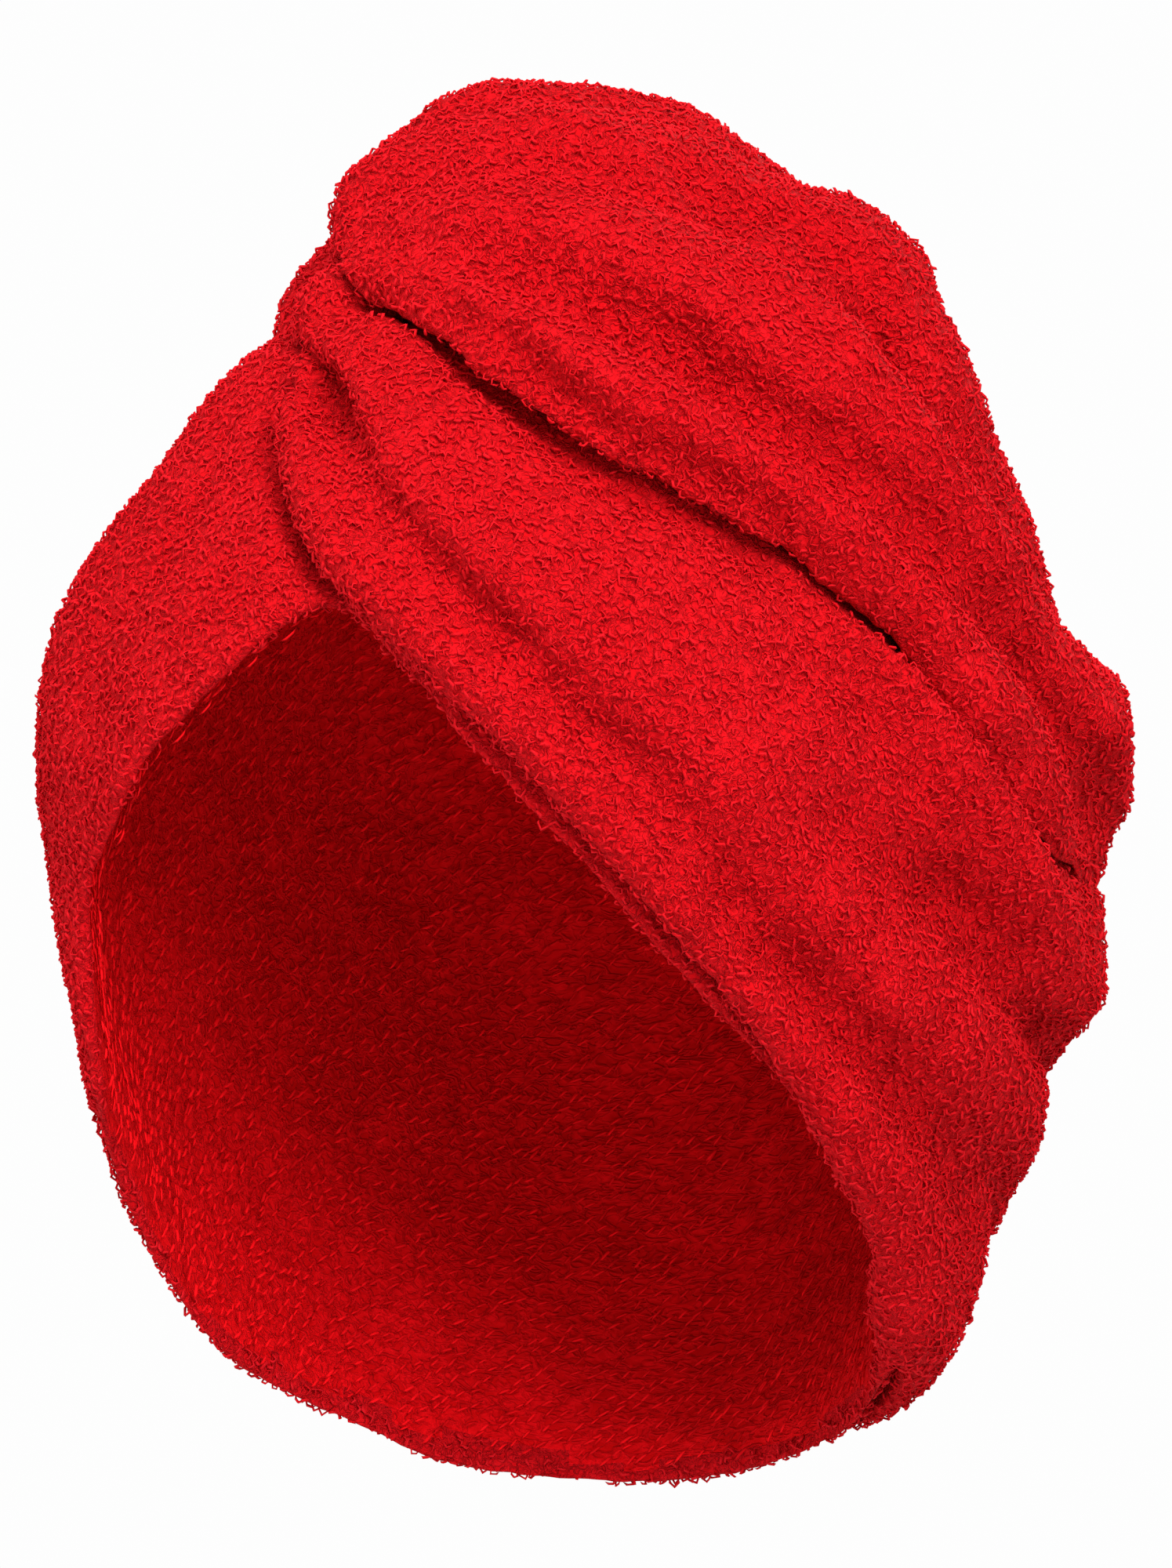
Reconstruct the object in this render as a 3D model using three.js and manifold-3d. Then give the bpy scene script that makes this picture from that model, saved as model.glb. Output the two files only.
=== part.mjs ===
// Hair turban towel of red terry, in the form it has when worn.
// Millimetres. The face looks along -Y, the wearer's left is +X, +Z is up.
// The origin is the centre of the head hollow at its widest level.
import * as THREE from 'three';
import Module from 'manifold-3d';

const solids = await Module();
solids.setup();

// ---- driving sizes ----
const HOLLOW_HALF_WIDTH = 82;    // head hollow, centre to one side
const HOLLOW_HALF_LENGTH = 100;  // head hollow, centre to forehead
const CROWN_HEIGHT = 93;         // head hollow, centre to crown
const LOWER_LENGTH = 166;        // how slowly the hollow narrows below its widest level
const CLOTH_WALL = 4;            // terry, ground cloth and pile on both faces
const PEAK_HEIGHT = 37;          // peak of the face opening over the centre
const NAPE_DROP = 115;           // rim at the nape under the centre
const SIDE_BULK = 20;            // fold of cloth that lies over the wearer's left side
const TAIL_BULK = 57;            // twisted tail at its thickest, over the crown
const LAYER_GAP = 0.35;          // clear space between two layers of cloth
const BUTTON_RADIUS = 11;
const BUTTON_THICKNESS = 4.5;
const LOOP_CORD = 3.2;           // elastic loop, round

// ---- where the cloth gathers, as seen from the centre ----
// turn: degrees from the face to the wearer's left; tilt: degrees over the widest level;
// rise: 0 at the nape, 1 at the peak of the opening; lift and half: share of the bulk
const TWIST_START = { turn: -25, tilt: 52 };
const TAIL_END = { turn: 172, rise: 0.07 };
const KNOT = { turn: -19, tilt: 72, lift: 0.28, half: 0.25 };
const SHOULDER = { turn: -13, tilt: 60, lift: 0.72, half: 0.68 };
const CLASP = { fan: 0, along: 0.985 };
const PLEAT_FADE = 40;             // degrees from either end over which a pleat dies away

// ---- how finely the cloth is divided ----
const RIM_STEPS = 60;
const HOOD_ROWS = 15;
const ARCH_STEPS = 12;
const FOLD_END = 0.125;            // share of a fold's length that each end takes to round off

// Rim of the hood. turn as above; rise: 0 at the nape, 1 at the peak of the opening
const RIM = [
  { turn: 2, rise: 1.000 }, { turn: 5.9, rise: 0.967 }, { turn: 10.4, rise: 0.924 },
  { turn: 14.2, rise: 0.880 }, { turn: 18.2, rise: 0.834 }, { turn: 22.5, rise: 0.783 },
  { turn: 28.5, rise: 0.724 }, { turn: 34.4, rise: 0.667 }, { turn: 42.9, rise: 0.580 },
  { turn: 48.8, rise: 0.532 }, { turn: 55.3, rise: 0.480 }, { turn: 64.7, rise: 0.406 },
  { turn: 73.9, rise: 0.346 }, { turn: 80, rise: 0.302 }, { turn: 87, rise: 0.267 },
  { turn: 93, rise: 0.238 }, { turn: 99, rise: 0.195 }, { turn: 106, rise: 0.148 },
  { turn: 118, rise: 0.086 }, { turn: 135, rise: 0.044 }, { turn: 155, rise: 0.017 },
  { turn: 178, rise: 0.003 }, { turn: 200, rise: 0.001 }, { turn: 212, rise: 0.015 },
  { turn: 222, rise: 0.032 }, { turn: 232, rise: 0.061 }, { turn: 242, rise: 0.097 },
  { turn: 252, rise: 0.123 }, { turn: 262, rise: 0.155 }, { turn: 269, rise: 0.201 },
  { turn: 276, rise: 0.259 }, { turn: 282, rise: 0.323 }, { turn: 288, rise: 0.381 },
  { turn: 294, rise: 0.417 }, { turn: 300, rise: 0.445 }, { turn: 302.5, rise: 0.495 },
  { turn: 304, rise: 0.560 }, { turn: 306, rise: 0.625 }, { turn: 309.1, rise: 0.679 },
  { turn: 313.8, rise: 0.718 }, { turn: 319.2, rise: 0.744 }, { turn: 325.3, rise: 0.775 },
  { turn: 332.1, rise: 0.827 }, { turn: 337.8, rise: 0.856 }, { turn: 342.9, rise: 0.886 },
  { turn: 347.6, rise: 0.923 }, { turn: 352, rise: 0.956 }, { turn: 357, rise: 0.982 },
];

// Where the hood stands off the head. reach: degrees; stand: share of SIDE_BULK
const SWELLS = [
  { turn: -64, tilt: 27, reach: 26, stand: 0.55 },
  { turn: -34, tilt: 62, reach: 20, stand: 0.80 },
  { turn: -8, tilt: 40, reach: 20, stand: 0.20 },
];

// Long pleats that the pull of the twist leaves in the hood. depth: share of SIDE_BULK
const PLEATS = [
  { fan: -154, half: 10, depth: -0.12 },
  { fan: -122, half: 12, depth: 0.10 },
  { fan: -92, half: 12, depth: -0.12 },
  { fan: -64, half: 12, depth: 0.10 },
];

// Folds. along: 0 at the twist start, 1 at the tail end; fan: degrees from the crown to the
// wearer's left; half: half width in degrees; crest: share of the bulk
const HEM_ROLL = [
  { along: 0.05, fan: 132, half: 14, crest: 0.90 },
  { along: 0.10, fan: 135, half: 12.5, crest: 0.75 },
  { along: 0.16, fan: 136.7, half: 9, crest: 0.62 },
  { along: 0.20, fan: 133.4, half: 7.6, crest: 0.56 },
  { along: 0.25, fan: 129.4, half: 6.6, crest: 0.54 },
  { along: 0.30, fan: 126.9, half: 6.1, crest: 0.54 },
  { along: 0.36, fan: 122.9, half: 5.4, crest: 0.54 },
  { along: 0.40, fan: 119.9, half: 5, crest: 0.54 },
  { along: 0.45, fan: 115.9, half: 5, crest: 0.54 },
  { along: 0.50, fan: 112.1, half: 5, crest: 0.54 },
  { along: 0.56, fan: 107.8, half: 5.9, crest: 0.54 },
  { along: 0.62, fan: 104.2, half: 6.9, crest: 0.53 },
  { along: 0.68, fan: 99.9, half: 8.9, crest: 0.52 },
  { along: 0.73, fan: 95.4, half: 9.9, crest: 0.62 },
  { along: 0.80, fan: 93, half: 9, crest: 0.44 },
  { along: 0.92, fan: 90, half: 8, crest: 0.28 },
];
const SIDE_FOLD = [
  { along: 0.03, fan: 80, half: 46, crest: 1.04 },
  { along: 0.10, fan: 97, half: 27, crest: 1.04 },
  { along: 0.16, fan: 108.5, half: 23, crest: 0.98 },
  { along: 0.21, fan: 110.5, half: 19.5, crest: 0.95 },
  { along: 0.26, fan: 109.5, half: 17.5, crest: 0.92 },
  { along: 0.31, fan: 106.5, half: 18, crest: 0.90 },
  { along: 0.36, fan: 104, half: 18.5, crest: 0.88 },
  { along: 0.40, fan: 102, half: 18.5, crest: 0.86 },
  { along: 0.45, fan: 99.6, half: 17.5, crest: 0.85 },
  { along: 0.50, fan: 97.5, half: 15.5, crest: 0.82 },
  { along: 0.56, fan: 93, half: 14, crest: 0.76 },
  { along: 0.62, fan: 87.5, half: 15, crest: 0.68 },
  { along: 0.68, fan: 79, half: 16, crest: 0.62 },
  { along: 0.73, fan: 74, half: 15, crest: 0.58 },
  { along: 0.80, fan: 72, half: 14, crest: 0.50 },
  { along: 0.92, fan: 72, half: 11, crest: 0.28 },
];
const UPPER_PLEAT = [
  { along: 0.38, fan: 97, half: 7, crest: 0.50 },
  { along: 0.46, fan: 96.5, half: 7.5, crest: 0.85 },
  { along: 0.52, fan: 94, half: 8, crest: 0.98 },
  { along: 0.57, fan: 89, half: 8, crest: 1.05 },
  { along: 0.63, fan: 80, half: 8.5, crest: 1.30 },
  { along: 0.67, fan: 74.5, half: 8.5, crest: 1.24 },
  { along: 0.73, fan: 66, half: 8, crest: 1.00 },
  { along: 0.82, fan: 62, half: 8, crest: 0.66 },
  { along: 0.92, fan: 62, half: 7, crest: 0.34 },
];
const LOWER_PLEAT = [
  { along: 0.42, fan: 112, half: 4, crest: 0.30 },
  { along: 0.49, fan: 108, half: 5, crest: 0.72 },
  { along: 0.53, fan: 104.5, half: 5.5, crest: 0.84 },
  { along: 0.57, fan: 100, half: 6, crest: 0.88 },
  { along: 0.62, fan: 94, half: 6.5, crest: 0.88 },
  { along: 0.67, fan: 88, half: 6.5, crest: 0.86 },
  { along: 0.72, fan: 82, half: 6.5, crest: 0.76 },
  { along: 0.80, fan: 78, half: 6.5, crest: 0.62 },
  { along: 0.92, fan: 78, half: 6, crest: 0.30 },
];
const TAIL_FOLDS = {
  lower: [
    { along: 0.05, fan: 44, half: 20, crest: 0.52 },
    { along: 0.10, fan: 74, half: 12, crest: 0.57 },
    { along: 0.15, fan: 87.5, half: 10, crest: 0.58 },
    { along: 0.20, fan: 91.5, half: 9.5, crest: 0.60 },
    { along: 0.26, fan: 91.5, half: 8.5, crest: 0.60 },
    { along: 0.31, fan: 88.8, half: 7.5, crest: 0.58 },
    { along: 0.36, fan: 86.6, half: 7, crest: 0.56 },
    { along: 0.42, fan: 84.4, half: 7, crest: 0.53 },
    { along: 0.50, fan: 83, half: 7.5, crest: 0.50 },
    { along: 0.57, fan: 80, half: 8, crest: 0.46 },
    { along: 0.62, fan: 75, half: 8.5, crest: 0.40 },
    { along: 0.70, fan: 62, half: 9.5, crest: 0.34 },
    { along: 0.80, fan: 52, half: 10, crest: 0.25 },
    { along: 0.935, fan: 48, half: 10, crest: 0.12 },
  ],
  middle: [
    { along: 0.06, fan: 38, half: 22, crest: 0.62 },
    { along: 0.12, fan: 62, half: 20, crest: 0.72 },
    { along: 0.18, fan: 68, half: 18, crest: 0.76 },
    { along: 0.24, fan: 74, half: 14.5, crest: 0.76 },
    { along: 0.30, fan: 76, half: 12.5, crest: 0.74 },
    { along: 0.36, fan: 77.5, half: 10.5, crest: 0.69 },
    { along: 0.43, fan: 76.5, half: 9.5, crest: 0.60 },
    { along: 0.50, fan: 72, half: 11, crest: 0.50 },
    { along: 0.58, fan: 66, half: 12, crest: 0.66 },
    { along: 0.64, fan: 60, half: 12, crest: 0.52 },
    { along: 0.72, fan: 50, half: 12, crest: 0.38 },
    { along: 0.84, fan: 42, half: 12, crest: 0.24 },
    { along: 0.935, fan: 40, half: 12, crest: 0.12 },
  ],
  upper: [
    { along: 0.07, fan: 30, half: 26, crest: 0.70 },
    { along: 0.13, fan: 40, half: 24, crest: 0.84 },
    { along: 0.20, fan: 46, half: 23, crest: 0.92 },
    { along: 0.26, fan: 50, half: 21, crest: 0.88 },
    { along: 0.31, fan: 50, half: 19, crest: 0.88 },
    { along: 0.355, fan: 52, half: 18, crest: 1.00 },
    { along: 0.40, fan: 53, half: 17, crest: 0.63 },
    { along: 0.45, fan: 54, half: 16, crest: 0.58 },
    { along: 0.50, fan: 54, half: 15, crest: 0.50 },
    { along: 0.60, fan: 48, half: 15, crest: 0.46 },
    { along: 0.72, fan: 38, half: 14, crest: 0.34 },
    { along: 0.935, fan: 32, half: 12, crest: 0.12 },
  ],
  crown: [
    { along: 0.06, fan: 12, half: 28, crest: 0.38 },
    { along: 0.10, fan: 16, half: 27, crest: 0.62 },
    { along: 0.13, fan: 20, half: 26, crest: 0.82 },
    { along: 0.16, fan: 24, half: 25, crest: 0.94 },
    { along: 0.20, fan: 28, half: 24, crest: 1.00 },
    { along: 0.25, fan: 30, half: 21, crest: 1.02 },
    { along: 0.30, fan: 30, half: 19, crest: 0.92 },
    { along: 0.36, fan: 32, half: 20, crest: 0.84 },
    { along: 0.45, fan: 31, half: 19, crest: 0.64 },
    { along: 0.60, fan: 28, half: 17, crest: 0.46 },
    { along: 0.75, fan: 22, half: 15, crest: 0.32 },
    { along: 0.935, fan: 18, half: 13, crest: 0.12 },
  ],
  far: [
    { along: 0.06, fan: -26, half: 30, crest: 0.22 },
    { along: 0.10, fan: -20, half: 28, crest: 0.40 },
    { along: 0.14, fan: -13, half: 26, crest: 0.58 },
    { along: 0.20, fan: -8, half: 24, crest: 0.74 },
    { along: 0.30, fan: -4, half: 22, crest: 0.74 },
    { along: 0.42, fan: -2, half: 20, crest: 0.58 },
    { along: 0.60, fan: 0, half: 17, crest: 0.40 },
    { along: 0.78, fan: 0, half: 15, crest: 0.26 },
    { along: 0.935, fan: 0, half: 13, crest: 0.12 },
  ],
};

const radians = THREE.MathUtils.degToRad;
const degrees = THREE.MathUtils.radToDeg;

// ---- the head form ----
function direction(turn, tilt) {
  const across = Math.cos(radians(tilt));
  return new THREE.Vector3(across * Math.sin(radians(turn)), -across * Math.cos(radians(turn)),
    Math.sin(radians(tilt)));
}

// A point in a direction from the centre, lifted off the outside of the hood where it lies close
function skinPoint(way, lift) {
  const side = HOLLOW_HALF_WIDTH + CLOTH_WALL + lift;
  const front = HOLLOW_HALF_LENGTH + CLOTH_WALL + lift;
  const height = (way.z < 0 ? LOWER_LENGTH : CROWN_HEIGHT) + CLOTH_WALL + lift;
  return new THREE.Vector3(way.x * side, way.y * front, way.z * height);
}

// The tilt at which the head form reaches a rise of the rim
function tiltOf(rise) {
  const height = -NAPE_DROP + rise * (PEAK_HEIGHT + NAPE_DROP);
  const whole = (height < 0 ? LOWER_LENGTH : CROWN_HEIGHT) + CLOTH_WALL;
  return degrees(Math.asin(height / whole));
}

// ---- the fan of folds, from the twist start to the tail end ----
const START = direction(TWIST_START.turn, TWIST_START.tilt);
const END = direction(TAIL_END.turn, tiltOf(TAIL_END.rise));
const FAN_AXIS = END.clone().sub(START).normalize();
const FAN_UP = new THREE.Vector3(0, 0, 1).addScaledVector(FAN_AXIS, -FAN_AXIS.z).normalize();
const FAN_LEFT = FAN_AXIS.clone().cross(FAN_UP);

function fanOf(way) {
  const off = way.clone().sub(START);
  return degrees(Math.atan2(off.dot(FAN_LEFT), off.dot(FAN_UP)));
}

function fanWay(fan, along) {
  const out = FAN_UP.clone().multiplyScalar(Math.cos(radians(fan)))
    .addScaledVector(FAN_LEFT, Math.sin(radians(fan)));
  const normal = FAN_AXIS.clone().cross(out);
  const centre = normal.clone().multiplyScalar(START.dot(normal));
  const first = START.clone().sub(centre);
  const radius = first.length();
  first.normalize();
  const second = normal.clone().cross(first);
  if (second.dot(out) < 0) second.negate();
  const last = END.clone().sub(centre);
  const sweep = Math.atan2(last.dot(second), last.dot(first));
  const whole = sweep < 0 ? sweep + 2 * Math.PI : sweep;
  return centre.addScaledVector(first, radius * Math.cos(along * whole))
    .addScaledVector(second, radius * Math.sin(along * whole));
}

function fanPoint(fan, along, lift) {
  return skinPoint(fanWay(fan, along), lift);
}

function hoodLift(way) {
  let lift = 0;
  for (const swell of SWELLS) {
    const apart = degrees(way.angleTo(direction(swell.turn, swell.tilt)));
    lift += swell.stand * SIDE_BULK * Math.exp(-((apart / swell.reach) ** 2));
  }
  const reach = Math.min(way.angleTo(START), way.angleTo(END));
  const fade = Math.min(1, degrees(reach) / PLEAT_FADE) ** 2;
  for (const pleat of PLEATS) {
    const apart = (fanOf(way) - pleat.fan) / pleat.half;
    lift += fade * pleat.depth * SIDE_BULK * Math.exp(-(apart ** 2));
  }
  return lift;
}

// ---- tables ----
// The value of a column between two rows, on a smooth curve through all of them
function between(rows, key, column, at) {
  const last = rows.length - 2;
  const found = rows.findIndex((row) => row[key] > at);
  const i = found < 0 ? last : Math.min(Math.max(found - 1, 0), last);
  const [a, b] = [rows[i], rows[i + 1]];
  const before = rows[i - 1] ?? a;
  const after = rows[i + 2] ?? b;
  const step = b[key] - a[key];
  const slopeA = (b[column] - before[column]) / (b[key] - before[key]);
  const slopeB = (after[column] - a[column]) / (after[key] - a[key]);
  const t = THREE.MathUtils.clamp((at - a[key]) / step, 0, 1);
  const rise = b[column] - a[column];
  return a[column] + t * (step * slopeA
    + t * (3 * rise - step * (2 * slopeA + slopeB) + t * (step * (slopeA + slopeB) - 2 * rise)));
}

// ---- solids ----
function solidOf(points, faces) {
  const mesh = new solids.Mesh({
    numProp: 3,
    vertProperties: new Float32Array(points.flatMap((p) => [p.x, p.y, p.z])),
    triVerts: new Uint32Array(faces.flat()),
  });
  mesh.merge();
  return new solids.Manifold(mesh);
}

// A closed skin over rings of equal count, with a point at each end
function closeRings(first, rings, last) {
  const points = [first, ...rings.flat(), last];
  const count = rings[0].length;
  const faces = [];
  for (let i = 0; i < count; i += 1) {
    const next = (i + 1) % count;
    faces.push([0, 1 + i, 1 + next]);
    for (let ring = 0; ring < rings.length - 1; ring += 1) {
      const a = 1 + ring * count;
      const b = a + count;
      faces.push([a + i, b + i, b + next], [a + i, b + next, a + next]);
    }
    const tail = 1 + (rings.length - 1) * count;
    faces.push([tail + i, points.length - 1, tail + next]);
  }
  return solidOf(points, faces);
}

function middleOf(ring) {
  return ring.reduce((sum, p) => sum.add(p), new THREE.Vector3()).divideScalar(ring.length);
}

// One fold: an arch of cloth on the head form, rounded at both ends
function fold(rows, bulk, { grow = 0, round = 2.4, lean = 0, steps = 22, tip = 0.5 } = {}) {
  const from = rows[0].along;
  const to = rows[rows.length - 1].along;
  const rings = [];
  for (let i = 0; i <= steps; i += 1) {
    const share = i / steps;
    const along = from + (to - from) * (0.5 - 0.5 * Math.cos(Math.PI * share));
    const inside = Math.min(1, Math.min(share, 1 - share) / FOLD_END);
    const ease = tip + (1 - tip) * Math.sqrt(1 - (1 - inside) ** 2);
    const fan = between(rows, 'along', 'fan', along);
    const half = between(rows, 'along', 'half', along) * ease;
    const crest = between(rows, 'along', 'crest', along) * bulk * ease;
    const ring = [];
    for (let j = 0; j <= ARCH_STEPS; j += 1) {
      const across = Math.cos((Math.PI * j) / ARCH_STEPS);
      const up = (1 - Math.abs(across) ** round) ** (1 / round);
      ring.push(fanPoint(fan + half * (across + lean * up), along, crest * up + grow));
    }
    ring.push(fanPoint(fan - half, along, -CLOTH_WALL / 2));
    ring.push(fanPoint(fan + half, along, -CLOTH_WALL / 2));
    rings.push(ring);
  }
  return closeRings(middleOf(rings[0]), rings, middleOf(rings[rings.length - 1]));
}

function join(list) {
  return list.reduce((whole, piece) => whole.add(piece));
}

// ---- the hood ----
function rimStations() {
  const rows = [...RIM, { turn: RIM[0].turn + 360, rise: RIM[0].rise }];
  const reach = [0];
  for (let i = 1; i < rows.length; i += 1) {
    const turn = (rows[i].turn - rows[i - 1].turn) * 1.6;
    const rise = (rows[i].rise - rows[i - 1].rise) * (PEAK_HEIGHT + NAPE_DROP);
    reach.push(reach[i - 1] + Math.hypot(turn, rise));
  }
  const table = rows.map((row, i) => ({ ...row, reach: reach[i] }));
  const stations = [];
  for (let i = 0; i < RIM_STEPS; i += 1) {
    const at = (reach[reach.length - 1] * i) / RIM_STEPS;
    stations.push({
      turn: between(table, 'reach', 'turn', at),
      rise: between(table, 'reach', 'rise', at),
    });
  }
  return stations;
}

const STATIONS = rimStations().map(({ turn, rise }) => ({ turn, tilt: tiltOf(rise) }));

function hoodRing(share, lift) {
  return STATIONS.map((station) => {
    const way = direction(station.turn, 90 + (station.tilt - 90) * share);
    return skinPoint(way, hoodLift(way) + lift);
  });
}

function crownPoint(lift) {
  const way = direction(0, 90);
  return skinPoint(way, hoodLift(way) + lift);
}

function hood() {
  const shares = Array.from({ length: HOOD_ROWS }, (_, i) => (i + 1) / HOOD_ROWS);
  const edge = 1 + 0.3 * CLOTH_WALL / CROWN_HEIGHT;
  const outer = shares.map((share) => hoodRing(share, 0));
  const inner = shares.map((share) => hoodRing(share, -CLOTH_WALL)).reverse();
  const lip = [hoodRing(edge, -CLOTH_WALL / 2)];
  return closeRings(crownPoint(0), [...outer, ...lip, ...inner], crownPoint(-CLOTH_WALL));
}

// Everything inside the outside of the hood, and on below its rim
function hoodCore() {
  const shares = Array.from({ length: HOOD_ROWS }, (_, i) => (i + 1) / HOOD_ROWS);
  const rings = shares.map((share) => hoodRing(share, LAYER_GAP));
  for (const part of [0.35, 0.8]) {
    rings.push(STATIONS.map((station) => {
      const way = direction(station.turn, station.tilt + (-80 - station.tilt) * part);
      return skinPoint(way, hoodLift(way) + LAYER_GAP);
    }));
  }
  return closeRings(crownPoint(LAYER_GAP), rings, skinPoint(direction(0, -90), LAYER_GAP));
}

// ---- the layers over it ----
// A round gather of cloth where a fold starts
function gather({ turn, tilt, lift, half }, bulk, grow = 0) {
  const centre = skinPoint(direction(turn, tilt), lift * bulk);
  return solids.Manifold.sphere(half * bulk + grow, 20).translate([centre.x, centre.y, centre.z]);
}

function sideFolds(grow) {
  return join([
    fold(HEM_ROLL, SIDE_BULK, { grow, round: 2.6, steps: 24, tip: 0.7 }),
    fold(SIDE_FOLD, SIDE_BULK, { grow, round: 4, steps: 24, tip: 0.8 }),
    fold(UPPER_PLEAT, SIDE_BULK, { grow, round: 2.4, steps: 16 }),
    fold(LOWER_PLEAT, SIDE_BULK, { grow, round: 2.4, steps: 16 }),
    gather(SHOULDER, SIDE_BULK, grow),
  ]);
}

function tail() {
  return join([
    fold(TAIL_FOLDS.lower, TAIL_BULK, { lean: 0.35, round: 2.3, tip: 0.8 }),
    fold(TAIL_FOLDS.middle, TAIL_BULK, { lean: 0.1, round: 2.6, tip: 0.8 }),
    fold(TAIL_FOLDS.upper, TAIL_BULK, { round: 2.6, tip: 0.8 }),
    fold(TAIL_FOLDS.crown, TAIL_BULK, { round: 2.6, tip: 0.8 }),
    fold(TAIL_FOLDS.far, TAIL_BULK, { round: 2.4, tip: 0.8 }),
    gather(KNOT, TAIL_BULK),
  ]);
}

// Button at the nape with the loop of the tail round it
function clasp() {
  const way = fanWay(CLASP.fan, CLASP.along);
  const seat = skinPoint(way, 0);
  const side = skinPoint(fanWay(CLASP.fan + 90, CLASP.along - 0.01), 0).sub(seat);
  const down = skinPoint(fanWay(CLASP.fan, CLASP.along + 0.01), 0).sub(seat);
  const out = side.cross(down).normalize();
  if (out.dot(way) < 0) out.negate();
  const turn = new THREE.Quaternion().setFromUnitVectors(new THREE.Vector3(0, 0, 1), out);
  const angle = new THREE.Euler().setFromQuaternion(turn, 'ZYX');
  const button = solids.Manifold.revolve(disc(BUTTON_RADIUS, BUTTON_THICKNESS), 28);
  const loop = solids.Manifold.revolve(cord(BUTTON_RADIUS, LOOP_CORD), 28);
  return button.add(loop)
    .rotate([degrees(angle.x), degrees(angle.y), degrees(angle.z)])
    .translate([seat.x, seat.y, seat.z]);
}

// Half section of a button, bulged on its outer face and long enough to reach its seat
function disc(radius, thickness) {
  const points = [[0, -thickness]];
  for (let i = 0; i <= 5; i += 1) {
    const lean = radians(i * 18);
    points.push([radius * (0.75 + 0.25 * Math.cos(lean)), thickness * (0.55 + 0.45 * Math.sin(lean))]);
  }
  points.splice(1, 0, [radius, -thickness]);
  points.push([0, thickness * 1.12]);
  return new solids.CrossSection([points]);
}

function cord(radius, thickness) {
  return solids.CrossSection.circle(thickness / 2, 10).translate([radius + thickness * 0.3, thickness * 0.6]);
}

// ---- the part ----
function mesh(name, solid, material) {
  const data = solid.getMesh();
  const geometry = new THREE.BufferGeometry();
  geometry.setAttribute('position', new THREE.BufferAttribute(new Float32Array(data.vertProperties), 3));
  geometry.setIndex(new THREE.BufferAttribute(new Uint32Array(data.triVerts), 1));
  geometry.computeVertexNormals();
  const piece = new THREE.Mesh(geometry, material);
  piece.name = name;
  return piece;
}

const elastic = new THREE.MeshStandardMaterial({ name: 'red elastic', color: 0x8f0d14, roughness: 0.6 });
const terry = new THREE.MeshStandardMaterial({ name: 'red terry', color: 0xc41219, roughness: 1 });

const core = hoodCore();
const side = sideFolds(0);
const sideCore = sideFolds(LAYER_GAP);

const turban = new THREE.Group();
turban.name = 'hair_turban_towel';
turban.add(mesh('hood', hood(), terry));
turban.add(mesh('side_fold', side.subtract(core), terry));
turban.add(mesh('tail', tail().subtract(core).subtract(sideCore), terry));
turban.add(mesh('clasp', clasp().subtract(core), elastic));

export default turban;
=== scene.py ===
# %% [markdown]
# # A hair turban towel in red terry
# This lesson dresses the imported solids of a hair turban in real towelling. The object is a hood of
# looped cotton cloth with a heavy tail that is twisted over the crown and led down to the nape.
# Everything here is in metres: the face looks along -Y, the wearer's left is +X and up is +Z.

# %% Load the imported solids
import math

import bmesh
import bpy
import numpy as np
from mathutils import Matrix, Vector
from mathutils.bvhtree import BVHTree


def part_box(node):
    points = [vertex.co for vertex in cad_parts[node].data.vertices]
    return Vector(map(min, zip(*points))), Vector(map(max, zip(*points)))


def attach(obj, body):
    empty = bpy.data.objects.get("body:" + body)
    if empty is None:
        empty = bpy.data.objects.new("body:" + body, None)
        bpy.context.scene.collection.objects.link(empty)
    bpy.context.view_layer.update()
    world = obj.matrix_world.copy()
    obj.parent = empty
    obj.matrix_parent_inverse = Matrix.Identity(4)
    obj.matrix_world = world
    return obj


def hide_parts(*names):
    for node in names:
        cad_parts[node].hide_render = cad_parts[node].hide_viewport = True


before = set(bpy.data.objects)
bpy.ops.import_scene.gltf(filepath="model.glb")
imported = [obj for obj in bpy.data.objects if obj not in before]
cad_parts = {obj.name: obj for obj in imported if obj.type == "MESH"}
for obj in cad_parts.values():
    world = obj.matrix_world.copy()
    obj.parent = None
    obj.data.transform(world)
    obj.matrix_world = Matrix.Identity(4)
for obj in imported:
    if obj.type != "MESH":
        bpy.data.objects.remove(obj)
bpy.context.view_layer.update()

# %% [markdown]
# ## Camera
# The picture looks up at the turban from a little under eye level, turned toward the wearer's left.
# A long lens from 1.5 m keeps the folds free of strong perspective. The frame is taller than it is
# wide, so Blender reads the sensor's 36 mm along the height.

# %% Place the camera
VIEW_TURN, VIEW_TILT, VIEW_DISTANCE = math.radians(23), math.radians(-10), 1.5
AIM_RIGHT, AIM_UP = 0.0115475, 0.0155
SENSOR, LENS = 36, 174.2
toward_camera = Vector((
    math.sin(VIEW_TURN) * math.cos(VIEW_TILT),
    -math.cos(VIEW_TURN) * math.cos(VIEW_TILT),
    math.sin(VIEW_TILT),
))
camera_right = Vector((math.cos(VIEW_TURN), math.sin(VIEW_TURN), 0))
camera_up = toward_camera.cross(camera_right)
aim = camera_right * AIM_RIGHT + camera_up * AIM_UP
lens = bpy.data.cameras.new("camera")
lens.sensor_width = SENSOR
lens.lens = LENS
camera = bpy.data.objects.new("camera", lens)
camera.location = aim + toward_camera * VIEW_DISTANCE
camera.rotation_euler = (-toward_camera).to_track_quat("-Z", "Y").to_euler()
bpy.context.scene.collection.objects.link(camera)
bpy.context.scene.camera = camera
print("camera at", [round(x, 3) for x in camera.location])

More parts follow.
